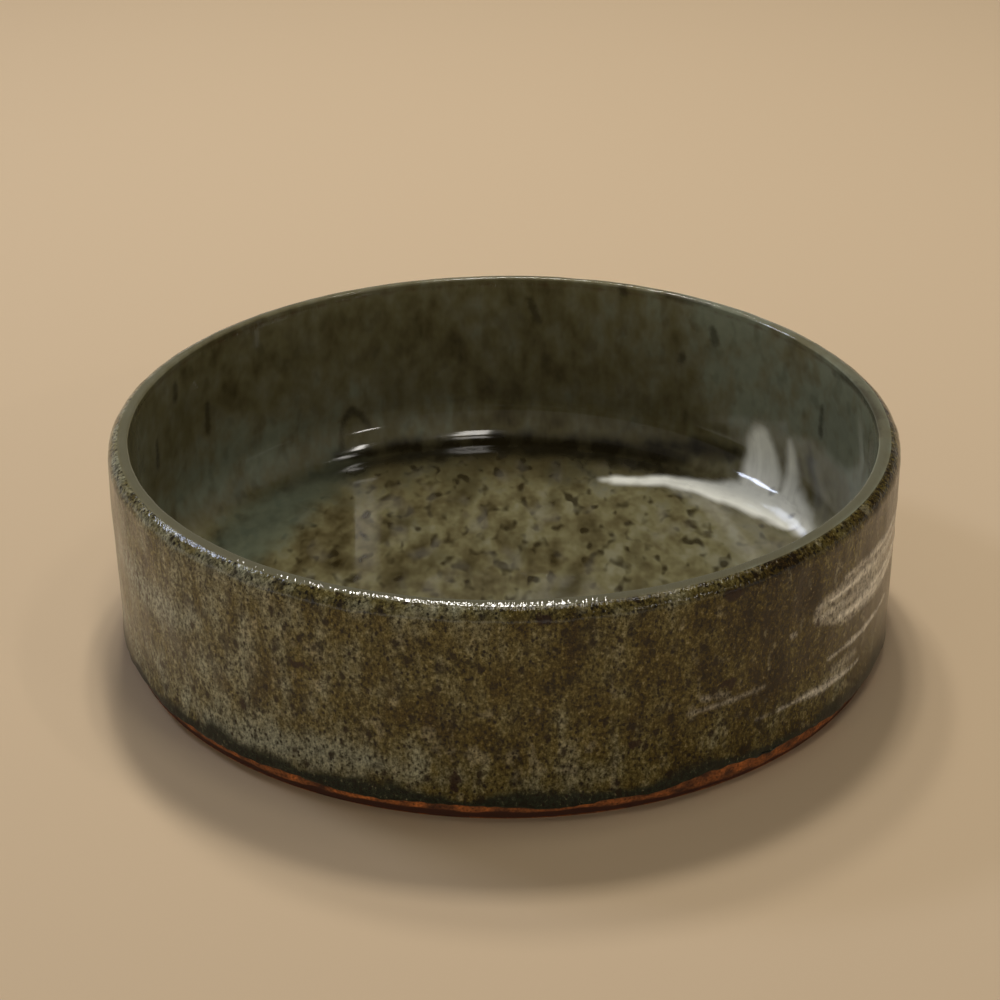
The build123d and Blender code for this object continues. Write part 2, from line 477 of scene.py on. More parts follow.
insideLook = {
    "tones": [(0.0, "#3b321a"), (1.0, "#868b77"), (0.3, "#5e563a"), (0.5, "#706a4b"), (0.74, "#7c785f")],
    # the pool tone inside is pooled glaze and painted shade in the corner
    "poolAndShadeTone": "#241e0e",
    "celadonTone": "#535a4b",
    "lipTone": "#64614e",
    "edgeTone": "#4a2a1c",
    "edgeBreak": (0.45, 0.95, 0.5),
    "blotDetail": 1.0,
    "noises": {
        "patch": (22 * mm, 0.7, 2.0, 0.5),
        "mottle": (6 * mm, 0.6, 2.0, 0.5),
        "run": (7 * mm, 0.25, 2.0, 0.5),
        "grain": (3.0 * mm, 0.7, 1.0, 0.5),
        "peel": (8 * mm, 1.0, 1.0, 0.5),
        "ragged": (2.6 * mm, 0.8, 3.0, 0.6),
    },
    "swings": {"patch": 0.65, "mottle": 1.05, "run": 0.25, "grain": 0.05},
    "grainShade": (0.35, 0.65, 0.95, 1.05),
    "glints": [],
    "blots": [
        (14 * mm, 0.5, 0.48, 0.78, 0.65, "#302813"),
        (4.6 * mm, 0.6, 0.53, 0.73, 0.85, "#261e0d"),
        (9 * mm, 0.6, 0.52, 0.78, 0.35, "#7e7a6c"),
    ],
    "specks": [],
    "slipTone": "#fdfdf0",
    "slipCloud": (0.35, 0.6, 0.94, 1.06),
    "bristle": (3.4 * mm, 0.04),
    "bristleShade": (0.3, 0.7, 0.88, 1.08),
    "ironTone": "#22170d",
    "ironRag": 2.6,
    "ironFade": (-1.6, 0.9, 0.6),
    "along": 0.55,
    "peelHeight": 0.008 * mm,
    "grainHeight": 0.002 * mm,
    "roughness": (0.06, 0.10),
    "lipGloss": 0.8,
}


# What both coats share. A veil of thick glaze and a dark pool, which in the inside corner is partly painted
# shade, start and are full at two levels, with a strength, and the mottle frays both, as the grain frays the
# lip's shoulder. A speck's outline takes in a share of the grain, whose usual amount is then taken off.
# Grain is weaker on slip and rim. Beads on the rim: size, scale on each axis, height
glazeHabit = {
    "veil": (0.5, 1.4, 0.85),
    "poolAndShade": (0.6, 1.25, 1.0),
    "mottleFray": 0.8,
    "shoulderFray": 0.2,
    "speckFray": (0.35, 0.17),
    "blotDistortion": 0.2,
    "bristleDetail": 3.0,
    "grainOnSlip": 0.3,
    "grainOnRim": 0.35,
    "beads": (0.9 * mm, (1.0, 0.25, 0.25), 0.2 * mm),
    "beadDetail": 1.0,
    "glossSpan": (0.35, 0.65),
    "ior": 1.5,
    "specular": 0.4,
}


def glazeMaterial(name, look):
    habit = glazeHabit
    eased = {"interpolation_type": "SMOOTHSTEP"}
    material, add = newMaterial(name)
    coords = add("TexCoord").outputs["Object"]
    coat, marks, brush = (
        add("Attribute", attribute_name=key).outputs["Vector"] for key in ("coat", "marks", "brush")
    )
    depth, poolAndShade, lip = add("SeparateXYZ", {0: coat}).outputs
    white, iron, edge = add("SeparateXYZ", {0: marks}).outputs
    blotShare = add("SeparateXYZ", {0: brush}).outputs["Z"]
    celadon = add("Attribute", attribute_name="celadon").outputs["Fac"]
    layers = []  # what lies over the glaze's own colour, lowest first: how it mixes, its share, its tone

    noises = {}
    for key, (size, stretch, detail, roughness) in look["noises"].items():
        space = add("Mapping", {"Vector": coords, "Scale": (1.0, look["along"], stretch)})
        noises[key] = add("TexNoise", {
            "Vector": space, "Scale": 1 / size, "Detail": detail, "Roughness": roughness,
        })

    # glaze depth, swung by patches, mottles and runs
    swings = look["swings"]
    level = add("Math", {0: depth, 1: sum(swings.values()) / 2}, operation="SUBTRACT")
    for key, swing in swings.items():
        level = add("Math", {0: noises[key], 1: swing, 2: level}, operation="MULTIPLY_ADD")

    # irregular soft blots of thinner or thicker glaze
    for size, stretch, start, full, strength, tone in look["blots"]:
        space = add("Mapping", {"Vector": coords, "Scale": (1.0, look["along"], stretch)})
        cloud = add("TexNoise", {
            "Vector": space, "Scale": 1 / size, "Detail": look["blotDetail"],
            "Distortion": habit["blotDistortion"],
        })
        blot = add("MapRange", {"Value": cloud, 1: start, 2: full, 4: strength}, **eased)
        held = add("Math", {0: blot, 1: blotShare}, operation="MULTIPLY")
        layers.append(("MIX", held, tone))

    # veils of thick grey-green glaze, then the crown of the lip, where the glaze is smooth and even, and the
    # dark pools at the foot and in the corner, the corner's partly painted shade
    gathered = {}
    for key, place in (("veil", celadon), ("poolAndShade", poolAndShade)):
        start, full, strength = habit[key]
        frayed = add(
            "Math", {0: noises["mottle"], 1: habit["mottleFray"], 2: place}, operation="MULTIPLY_ADD",
        )
        gathered[key] = add("MapRange", {"Value": frayed, 1: start, 2: full, 4: strength}, **eased)
    layers.append(("MIX", gathered["veil"], look["celadonTone"]))
    layers.append(("MIX", lip, look["lipTone"]))
    layers.append(("MIX", gathered["poolAndShade"], look["poolAndShadeTone"]))

    # the shoulder of the lip, where the glaze has drawn thin and breaks into dark grains
    start, full, strength = look["edgeBreak"]
    frayed = add("Math", {0: edge, 1: habit["shoulderFray"], 2: noises["grain"]}, operation="MULTIPLY_ADD")
    broken = add("MapRange", {"Value": frayed, 1: start, 2: full, 4: strength}, **eased)
    thinned = add("Math", {0: broken, 1: edge}, operation="MULTIPLY")
    layers.append(("MIX", thinned, look["edgeTone"]))

    # white slip under the glaze, clouded by the mottle and streaked by the bristles
    size, drawn = look["bristle"]
    space = add("Mapping", {"Vector": brush, "Scale": (drawn, 1.0, 0.0)})
    bristles = add("TexNoise", {"Vector": space, "Scale": 1 / size, "Detail": habit["bristleDetail"]})
    streaks, cloud, shade = (
        add("MapRange", {"Value": noise, 1: start, 2: full, 3: low, 4: high})
        for noise, (start, full, low, high) in (
            (bristles, look["bristleShade"]), (noises["mottle"], look["slipCloud"]),
            (noises["grain"], look["grainShade"]),
        )
    )
    body = add("Math", {0: white, 1: cloud}, operation="MULTIPLY")
    whiteness = add("Math", {0: body, 1: streaks}, operation="MULTIPLY", use_clamp=True)
    layers.append(("MIX", whiteness, look["slipTone"]))

    # fine grain: the clay's grit shows through, drawn out where the glaze ran, and less on slip and lip
    covered = add("Math", {0: whiteness, 1: lip}, operation="MAXIMUM")
    even = add("MapRange", {"Value": covered, 3: 1.0, 4: habit["grainOnSlip"]})
    layers.append(("MULTIPLY", even, shade))

    # painted glints: pale specks of colour that stand in for small highlights
    for start, full, strength, tone in look["glints"]:
        grains = add("MapRange", {"Value": noises["grain"], 1: start, 2: full, 4: strength}, **eased)
        shown = add("Math", {0: grains, 1: even}, operation="MULTIPLY")
        layers.append(("MIX", shown, tone))

    # iron specks, one family after another
    fray, usual = habit["speckFray"]
    for cell, radius, core, stretch, share, strength, tone in look["specks"]:
        space = add("Mapping", {"Vector": coords, "Scale": (1.0, 1.0, stretch)})
        cells = add("TexVoronoi", {"Vector": space, "Scale": 1 / cell})
        lot = add("SeparateColor", {"Color": cells.outputs["Color"]})
        held = add("Math", {0: lot, 1: share}, operation="LESS_THAN")
        uneven = add("Math", {0: noises["grain"], 1: fray, 2: cells}, operation="MULTIPLY_ADD")
        start, end = radius * core + usual, radius + usual
        dot = add("MapRange", {"Value": uneven, 1: start, 2: end, 3: strength, 4: 0.0})
        mark = add("Math", {0: dot, 1: held}, operation="MULTIPLY")
        clear = add("Math", {0: mark, 1: even}, operation="MULTIPLY")
        layers.append(("MIX", clear, tone))

    # large iron spots and breaks, where this pot's clay has them
    rag = look["ironRag"]
    start, full, strength = look["ironFade"]
    blotted = add("Math", {0: noises["ragged"], 1: rag, 2: iron}, operation="MULTIPLY_ADD")
    spot = add("MapRange", {"Value": blotted, 1: rag / 2 + start, 2: rag / 2 + full, 4: strength}, **eased)
    layers.append(("MIX", spot, look["ironTone"]))

    colour = add("ValToRGB", {"Fac": level}, stops=look["tones"])
    for blend, share, tone in layers:
        colour = add("Mix", {0: share, 6: colour, 7: tone}, data_type="RGBA", blend_type=blend)

    # the glassy skin: orange peel and grit under it, beads on the rim, and a gloss that goes with the patches
    rim = add("Math", {0: lip, 1: edge}, operation="ADD", use_clamp=True)
    high = look["grainHeight"]
    calm = add("MapRange", {"Value": rim, 3: high, 4: high * habit["grainOnRim"]})
    height = add("Math", {0: noises["peel"], 1: look["peelHeight"]}, operation="MULTIPLY")
    size, drawn, high = habit["beads"]
    space = add("Mapping", {"Vector": coords, "Scale": drawn})
    beads = add("TexNoise", {"Vector": space, "Scale": 1 / size, "Detail": habit["beadDetail"]})
    beaded = add("Math", {0: rim, 1: high}, operation="MULTIPLY")
    for noise, amount in ((noises["grain"], calm), (beads, beaded)):
        height = add("Math", {0: noise, 1: amount, 2: height}, operation="MULTIPLY_ADD")
    bump = add("Bump", {"Height": height, "Distance": 1.0, "Strength": 1.0})
    start, full = habit["glossSpan"]
    smooth, rough = look["roughness"]
    gloss = add("MapRange", {"Value": noises["patch"], 1: start, 2: full, 3: smooth, 4: rough})
    polish = add("MapRange", {"Value": rim, 3: 1.0, 4: look["lipGloss"]})
    polished = add("Math", {0: gloss, 1: polish}, operation="MULTIPLY")
    shader = add("BsdfPrincipled", {
        "Base Color": colour, "Roughness": polished, "IOR": habit["ior"],
        "Specular IOR Level": habit["specular"], "Normal": bump,
    })
    add("OutputMaterial", {"Surface": shader})
    return material


stoneware = stonewareMaterial()
whiteSlip = slipMaterial()
glazeOut = glazeMaterial("ashGlazePouredOutside", outsideLook)
glazeIn = glazeMaterial("ashGlazePouredInside", insideLook)
print("materials made:", len(bpy.data.materials))

for node, material in (
    ("corner_coil", stoneware), ("slip_inside", whiteSlip), ("slip_outside", whiteSlip),
):
    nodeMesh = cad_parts[node].data
    nodeMesh.materials.clear()
    nodeMesh.materials.append(material)


# Bare foot of the floor slab: bevelled edge, standing ring and a scraped hollow. Wave noises are (height,
# seed, longest, shortest). The painted shade of the bevel's downward face draws back where the fire
# toasted it: azimuth, half width, share
footShape = {
    "columns": 640,
    "rows": {"hollow": 56, "shoulder": 4, "ring": 8, "bevel": 10, "side": 14, "top": 8},
    "standingRing": 16.0 * mm,
    "relief": 1.2 * mm,
    "scrapeStep": 5.0 * mm,
    "scrapeDepth": 0.08 * mm,
    "unevenness": (0.14 * mm, 7, 30 * mm, 5 * mm),
    "shadeLine": (0.35 * mm, 8, 25 * mm, 4 * mm),
    "shadeSoft": 0.3 * mm,
    "toasted": [(-48, 26, 0.6), (-128, 26, 0.3)],
}


def makeFoot():
    # the slab's section, from the middle of its underside to the middle of its top, carried round the axis
    shape = footShape
    rows, relief = shape["rows"], shape["relief"]
    bevelTop = edges["bevelHeight"]
    ringOuter = clayOuter - edges["bevelDepth"]
    ringInner = ringOuter - shape["standingRing"]
    hollowEdge = ringInner - relief
    profile = joinProfile(
        linePoints((poleRadius, relief), (hollowEdge, relief), rows["hollow"]),
        linePoints((hollowEdge, relief), (ringInner, 0.0), rows["shoulder"]),
        linePoints((ringInner, 0.0), (ringOuter, 0.0), rows["ring"]),
        linePoints((ringOuter, 0.0), (clayOuter, bevelTop), rows["bevel"]),
        linePoints((clayOuter, bevelTop), (clayOuter, clayFloor), rows["side"]),
        linePoints((clayOuter, clayFloor), (poleRadius, clayFloor), rows["top"]),
    )
    points = turnedPoints(profile, shape["columns"])
    # the scraped hollow: shallow rings left by the tool, and a hand-cut bevel that is never quite even
    reach, level = profile[:, :1], profile[:, 1:]
    hollow = (level == relief) & (reach < hollowEdge)
    rings = shape["scrapeDepth"] * (0.5 + 0.5 * np.cos(2 * math.pi * reach / shape["scrapeStep"]))
    points[..., 2] += np.where(hollow, rings, 0)
    onSide = (level > 0) & (level < clayFloor) & (reach > ringOuter)
    cut = waveNoise(points, *shape["unevenness"]) - shape["unevenness"][0]
    cut = cut * (1 - smoothStep(bevelTop, clayFloor, points[..., 2]))
    points = pushOut(points, profileNormals(profile, 1), np.where(onSide, cut, 0))
    # the bevel's painted shade, up to a ragged line
    drawnBack = sum(share * roundHump(points, place, half) for place, half, share in shape["toasted"])
    ragged = bevelTop * (1 - drawnBack) + waveNoise(points, *shape["shadeLine"])
    soft = shape["shadeSoft"]
    bevelShadeShare = 1 - smoothStep(-soft, soft, points[..., 2] - ragged)
    bevelShadeShare = np.where((points[..., 2] > hair) & (reach > ringOuter - hair), bevelShadeShare, 0)
    return gridMesh("footSlab", handWarp(points), False, stoneware, {"bevelShadeShare": bevelShadeShare})


# Clay wall under the coats, with the lip's long outward rounding
wallShape = {
    "columns": 360,
    "rows": {"lip": 12, "outside": 12, "foot": 3, "inside": 10, "lipInside": 6},
}


def makeWall():
    # a closed section, carried round the axis: a quarter of an oval over the lip, straight down the outside,
    # across the foot, straight up the inside and a quarter of a circle back to the lip
    rows = wallShape["rows"]
    clayRound = lipInside - coat
    profile = joinProfile(
        ovalPoints(crest, lipAcross - coat, lipDown - coat, 90, 0, rows["lip"]),
        linePoints((clayOuter, crest[1]), (clayOuter, clayFloor), rows["outside"]),
        linePoints((clayOuter, clayFloor), (clayInner, clayFloor), rows["foot"]),
        linePoints((clayInner, clayFloor), (clayInner, clayTop - clayRound), rows["inside"]),
        arcPoints((clayInner + clayRound, clayTop - clayRound), clayRound, 180, 90, rows["lipInside"]),
    )[:-1]
    points = turnedPoints(profile, wallShape["columns"])
    return gridMesh("wallRing", handWarp(points), True, stoneware)


# Coat of glaze on the outside, from the middle of the lip to a wandering line above the bare foot.
# Trails of slip are a strength and a list of (azimuth, height, half width), the other marks only the list,
# in degrees and mm. Bare patches are (azimuth, half width, rise), in degrees and mm. Wave noises are
# (height, seed, longest, shortest). Bands of colour are where they start, are full, fade and end. Sides are
# (amount, azimuth)
outsideShape = {
    "columns": 720,
    "rows": {"lip": 20, "wall": 84, "edge": 7, "clay": 8},
    "edgeRound": 0.8 * mm,
    "lineDrop": 0.8 * mm,
    "lineDrift": (0.4 * mm, 3, 60 * mm, 8 * mm),
    "lineFray": (0.25 * mm, 4, 8 * mm, 2.5 * mm),
    "lineOverBevel": 0.3 * mm,
    "clayOverLine": 0.02 * mm,
    "barePatches": [
        (-60, 7, 2.3), (-46, 8, 1.7), (-75, 4, 0.4), (-95, 8, 0.8), (-118, 5, 1.0), (-140, 7, 0.8),
        (40, 14, 1.5),
    ],
    "rollPeak": 1.5 * mm,
    "rollSwell": 0.4 * mm,
    "rollMean": 0.75,
    "rollSwing": (0.5, 13, 40 * mm, 8 * mm),
    "ripple": (0.16 * mm, 11, 50 * mm, 12 * mm),
    "drips": (0.10 * mm, 12, 14 * mm, 4 * mm),
    "slipRelief": 0.15 * mm,
    "slipSoft": 1.1 * mm,
    "slipStray": (0.25 * mm, 41, 14 * mm, 4 * mm),
    "depth": 0.37,
    "depthSide": (0.22, 195),
    "depthSwing": (0.06, 14, 90 * mm, 30 * mm),
    "lowBand": (4 * mm, 9 * mm, 12 * mm, 24 * mm),
    "lowSide": (0.16, 245),
    "poolReach": 8.0 * mm,
    "poolStray": (0.45, 15, 50 * mm, 10 * mm),
    "poolFade": (0.1, 1.0),
    "shoulder": (0.2 * mm, 0.9 * mm, 1.5 * mm, 7.0 * mm),
    "celadonSide": (0.3, 200),
    "celadonPower": 1.5,
    "celadonPool": 0.6,
    "celadonFade": (-7.0, 4.0),
    "trails": [
        (0.36, [
            (-43, 44.7, 4.0), (-37, 43.2, 7.5), (-28, 42.7, 9.0), (-16, 43.2, 8.5), (-4, 43.7, 6.0),
            (9, 44.7, 2.0),
        ]),
        (0.95, [(-39, 39.3, 1.0), (-31, 37.7, 2.4), (-24, 38.1, 2.8), (-14, 38.3, 2.0), (-3, 38.7, 0.8)]),
        (0.95, [(-38, 51.1, 0.4), (-30, 50.7, 1.1), (-22, 50.2, 1.3), (-8, 50.3, 0.7)]),
        (0.80, [(-41, 46.7, 0.8), (-32, 47.1, 1.8), (-22, 46.5, 1.8), (-6, 46.7, 0.8)]),
        (0.90, [(-41, 27.0, 0.3), (-35, 26.7, 0.8), (-30, 26.3, 0.7), (-20, 26.3, 0.3)]),
        (0.80, [(-51, 19.3, 0.2), (-45, 18.6, 0.7), (-40, 17.9, 0.8), (-32, 17.1, 0.4)]),
        (0.30, [(-66, 28.9, 0.2), (-60, 29.3, 0.4), (-54, 29.5, 0.2)]),
        (0.30, [(-55, 19.1, 0.2), (-46, 19.6, 0.4), (-37, 19.8, 0.2)]),
        (0.30, [(-64.0, 32.7, 0.6), (-63.0, 32.2, 0.7)]),
        (0.26, [(-61.6, 32.1, 0.9), (-60.2, 31.7, 0.7)]),
        (0.16, [(-39, 21.4, 2.5), (-34, 21.4, 2.5)]),
        (0.60, [(-49.2, 42.2, 0.7), (-48.8, 42.1, 0.5)]),
    ],
    "celadonPools": [
        [(-134, 9.0, 1.0), (-122, 13.7, 3.0), (-113, 17.7, 3.5), (-106, 16.7, 1.5)],
        [(-160, 44.0, 3.0), (-146, 40.0, 4.0), (-136, 44.0, 2.0)],
    ],
    "ironMarks": [
        [(-60.6, 64.1, 2.0), (-59.8, 63.1, 2.4)], [(-60.8, 35.6, 1.6), (-59.8, 35.3, 1.9)],
        [(-85.6, 65.3, 1.5), (-84.7, 65.1, 1.7)], [(-127.3, 25.3, 1.2), (-127.2, 23.7, 1.3)],
        [(-74.0, 22.8, 1.2), (-72.6, 22.7, 1.3)], [(-118.2, 43.9, 0.9), (-115.8, 43.5, 1.0)],
        [(-96.4, 18.1, 0.5), (-96.5, 14.2, 1.6), (-96.4, 11.1, 1.5)],
        [(-36.6, 45.7, 0.8), (-36.6, 44.5, 0.9)], [(-44.0, 43.3, 0.6), (-44.1, 41.7, 0.9)],
        [(-46.0, 37.1, 0.8), (-46.0, 36.1, 0.9)], [(70, 43.7, 1.6), (71, 41.7, 1.8)],
        [(150, 30.2, 1.4), (150, 28.7, 1.5)], [(112, 56.7, 1.2), (112.6, 55.7, 1.5)],
    ],
}


def placeMark(mark, pointOf):
    # a mark's points on the surface, with half widths in metres
    return [(pointOf(azimuth, along), half * mm) for azimuth, along, half in mark]


def makeGlazeOutside():
    # a closed section carried round the axis: over the lip's oval, down the wall to a line whose height goes
    # with the azimuth, round its edge and back up along the clay
    shape = outsideShape
    columns, rows = shape["columns"], shape["rows"]
    footRing = turnedPoints(np.array([[outerRadius, 0.0]]), columns)[0]
    line = ringOf("glaze_outside")[2] - shape["lineDrop"]
    line = line + waveNoise(footRing, *shape["lineDrift"]) + waveNoise(footRing, *shape["lineFray"])
    for middle, width, rise in shape["barePatches"]:
        line = line + rise * mm * roundHump(footRing, middle, width)
    line = np.maximum(line, edges["bevelHeight"] + shape["lineOverBevel"])

    lip = ovalPoints(crest, lipAcross, lipDown, meetTurn, 0, rows["lip"])
    share = np.linspace(0, 1, rows["wall"])[1:]
    edge = np.radians(np.linspace(0, 90, rows["edge"]))[1:]
    clay = joinProfile(
        linePoints((clayOuter, 0.0), (clayOuter, crest[1]), rows["clay"]),
        ovalPoints(crest, lipAcross - coat, lipDown - coat, 0, clayMeetTurn, rows["clay"]),
    )[1:]
    wall = np.stack([np.full(len(share), outerRadius), np.zeros(len(share))], axis=1)
    under = np.stack([clayOuter + coat * np.cos(edge), np.zeros(len(edge))], axis=1)
    profile = np.concatenate([lip, wall, under, clay])
    points = turnedPoints(profile, columns)
    firstWall, firstUnder, firstClay = np.cumsum([len(lip), len(wall), len(under)])
    wallTop, wallFoot = crest[1], line + shape["edgeRound"]
    points[firstWall:firstUnder, :, 2] = wallTop + (wallFoot - wallTop) * share[:, None]
    points[firstUnder:firstClay, :, 2] = line + shape["edgeRound"] * (1 - np.sin(edge))[:, None]
    points[firstClay:, :, 2] = np.maximum(points[firstClay:, :, 2], line + shape["clayOverLine"])

    trails = [(weight, placeMark(trail, outsidePoint)) for weight, trail in shape["trails"]]
    white = brushField(points, trails, shape["slipSoft"], shape["slipStray"])[0]
    iron, celadon = (
        markField(points, [placeMark(mark, outsidePoint) for mark in shape[key]])
        for key in ("ironMarks", "celadonPools")
    )

    # relief of the air side: an uneven slab, runs of glaze, brush marks, and a roll that gathers at the foot
    rise, drop = points[..., 2] - line, lipTop - points[..., 2]
    relief = waveNoise(points, *shape["ripple"]) + waveNoise(points * runStretch, *shape["drips"])
    relief += shape["slipRelief"] * white
    relief *= smoothStep(0.0, hand["calmBelowLip"], drop)
    swell = np.clip(rise, 0, None) / shape["rollPeak"]
    gather = shape["rollMean"] + waveNoise(footRing, *shape["rollSwing"])
    relief += shape["rollSwell"] * gather * swell * np.exp(1 - swell)
    relief += lipLumps(points)
    relief[firstUnder:] = 0
    normals = np.zeros((len(profile), 2))
    normals[:firstWall] = profileNormals(lip, -1)
    normals[firstWall:] = (1.0, 0.0)
    shaped = handWarp(pushOut(points, normals, relief))

    # colour drivers: thicker and greyer to the left, thinner and browner to the right, pooled at the foot
    turn = np.arctan2(points[..., 1], points[..., 0])
    (more, side), (lowMore, lowSide), (veilMore, veilSide) = (
        (amount, np.cos(turn - math.radians(azimuth)))
        for amount, azimuth in (shape["depthSide"], shape["lowSide"], shape["celadonSide"])
    )
    depth = shape["depth"] + more * side + waveNoise(points, *shape["depthSwing"])
    depth += lowMore * softBand(rise, *shape["lowBand"]) * (0.5 + 0.5 * lowSide)
    reach = shape["poolReach"] * (1 + waveNoise(footRing, *shape["poolStray"]))
    poolAndShade = 1 - smoothStep(*shape["poolFade"], rise / reach)
    veil = veilMore * np.clip(veilSide, 0, 1) ** shape["celadonPower"]
    veil += shape["celadonPool"] * smoothStep(*shape["celadonFade"], celadon)
    crown = lipCrown(points)
    return gridMesh("glazeCoatOutside", shaped, True, glazeOut, {
        "coat": np.stack([depth, poolAndShade, crown], axis=-1),
        "marks": np.stack([white, iron, softBand(drop, *shape["shoulder"])], axis=-1),
        "celadon": veil,
        "brush": np.stack([turn * outerRadius, points[..., 2], 1 - crown], axis=-1),
    })


# Coat of glaze on the inside, from the middle of the floor round the corner to the middle of the lip.
# Strokes of slip are a strength and a list of (azimuth, path length from the middle of the floor, half
# width), the other marks only the list, in degrees and mm. Wave noises and bands are as outside. Floor
# depth is what the floor has less than the wall, and more of at the right. A greyer stretch of wall is:
# amount, azimuth, how far it must face that (cosine from, to), height from, to; on the right it is partly
# painted light from the left, growing toward the top. The dark pools in the corner are pooled glaze and
# painted shade, and the skirt of the same round them is (mm inside, share)
insideShape = {
    "columns": 660,
    "rows": {"middle": 26, "floor": 30, "corner": 18, "wall": 34, "lipInside": 9, "lip": 7},
    "clayRows": {"lip": 4, "lipInside": 4, "wall": 4, "corner": 8, "floor": 5},
    "middleRadius": 70 * mm,
    "floorRipple": (0.012 * mm, 21, 50 * mm, 16 * mm),
    "ripple": (0.012 * mm, 21, 60 * mm, 20 * mm),
    "rippleTurn": 8 * mm,
    "drips": (0.02 * mm, 22, 14 * mm, 4 * mm),
    "dripsFrom": (20 * mm, 32 * mm),
    "slipRelief": 0.12 * mm,
    "slipSoft": 2.6 * mm,
    "slipStray": (0.5 * mm, 41, 14 * mm, 4 * mm),
    "depth": 0.55,
    "floorDepth": (0.23, 0.22),
    "floorEnd": (-4 * mm, 10 * mm),
    "rightFrom": (-70 * mm, 90 * mm),
    "depthSwing": (0.08, 24, 90 * mm, 30 * mm),
    # greyer walls; the right one is partly painted light from the left
    "greyWallsAndPaintedLight": [(0.42, 5, 0.35, 0.85, 22 * mm, 40 * mm), (0.25, 165, 0.3, 0.9, 44 * mm, 18 * mm)],
    "poolAndShade": 0.78,
    "poolFade": (-7.0, 4.0),
    "poolAndShadeSkirt": [(-60, 0.0), (-40, 0.15), (-20, 0.38), (-10, 0.5), (-2, 0.75), (4, 1.0)],
    "shoulder": (0.8 * mm, 1.6 * mm, 2.0 * mm, 4.5 * mm),
    "celadonFade": (-15.0, 9.0),
    "blotsOnWall": 0.25,
    "strokes": [
        (0.95, [(64.0, 86.0, 1.6), (62.0, 87.5, 3.2), (57.0, 90.5, 2.8), (52.5, 96.5, 3.6), (46, 100, 5.0)]),
        (1.00, [(46, 100, 5.0), (40, 103.5, 7.0), (35, 107, 8.0), (29, 108.5, 7.5), (22.5, 109.0, 4.5)]),
        (0.12, [(47.0, 93.5, 2.5), (39.0, 92.5, 3.0), (26.5, 88.0, 2.6), (11.5, 87.0, 2.4)]),
        (0.04, [(41.5, 95.0, 5.0), (28.0, 95.0, 8.0), (17.0, 98.0, 7.0)]),
        (0.70, [(27.0, 116.5, 4.0), (19.5, 110.5, 4.0)]),
        (0.88, [(35.5, 113.0, 9.0), (37.4, 121.0, 8.0), (38.4, 127.0, 6.5), (38.8, 130.0, 5.0)]),
        (0.80, [(28.5, 114.0, 5.0), (29.6, 121.0, 3.8), (30.8, 130.0, 2.2), (31.3, 134.5, 0.8)]),
        (0.12, [(24.0, 132.0, 2.0), (20.0, 120.0, 5.0), (13.0, 112.0, 6.0), (6.0, 108.0, 4.0)]),
    ],
    "ironMarks": [
        [(118.6, 128.5, 1.2), (120.4, 124.0, 1.0), (122.0, 114.0, 0.5)],
        [(118.6, 128.5, 1.2), (116.6, 125.0, 1.0), (115.4, 120.0, 0.5)],
        [(50.3, 164.5, 1.4), (50.0, 161.0, 1.8)], [(56.6, 151.6, 1.0), (56.6, 150.0, 1.2)],
        [(23.0, 155.0, 0.7), (23.0, 145.0, 1.0)], [(85.2, 166.0, 0.9), (83.8, 158.0, 1.2)],
        [(68.6, 173.5, 1.2), (68.0, 172.0, 1.3)], [(150.7, 152.0, 0.9), (150.9, 142.0, 1.2)],
        [(159.6, 166.0, 1.3), (159.8, 162.0, 1.4)], [(168.0, 153.0, 0.8), (168.2, 145.0, 1.2)],
        [(24.2, 110.8, 0.6), (24.0, 110.2, 0.6)], [(32.5, 114.6, 0.7), (32.0, 113.8, 0.7)],
        [(34.0, 78.5, 1.6), (31.5, 77.5, 1.2)], [(27.0, 79.0, 1.0), (25.5, 78.0, 1.2)],
        [(20.0, 171.0, 0.2), (14.0, 172.8, 1.0), (8.0, 173.8, 1.3), (0.0, 173.6, 1.5), (-8.0, 174.0, 0.4)],
        [(62.0, 174.5, 0.3), (57.0, 173.5, 1.0), (51.0, 174.5, 0.4)],
    ],
    "darkPoolsAndShade": [
        [(123, 111, 1.0), (111, 110, 3.5), (90, 108.5, 4.5), (70, 109, 5.0), (54, 112, 4.0)],
        [(62.0, 114.0, 1.0), (52.0, 118.0, 3.0), (44.0, 121.0, 2.0)],
        [(26.0, 138.0, 0.5), (24.0, 128.0, 1.5), (21.0, 121.0, 1.5)],
    ],
    "celadonPools": [
        [(121, 108, 3.0), (133, 101, 7.0), (144, 97, 10.0), (155, 95, 11.0), (170, 95, 8.0)],
    ],
}


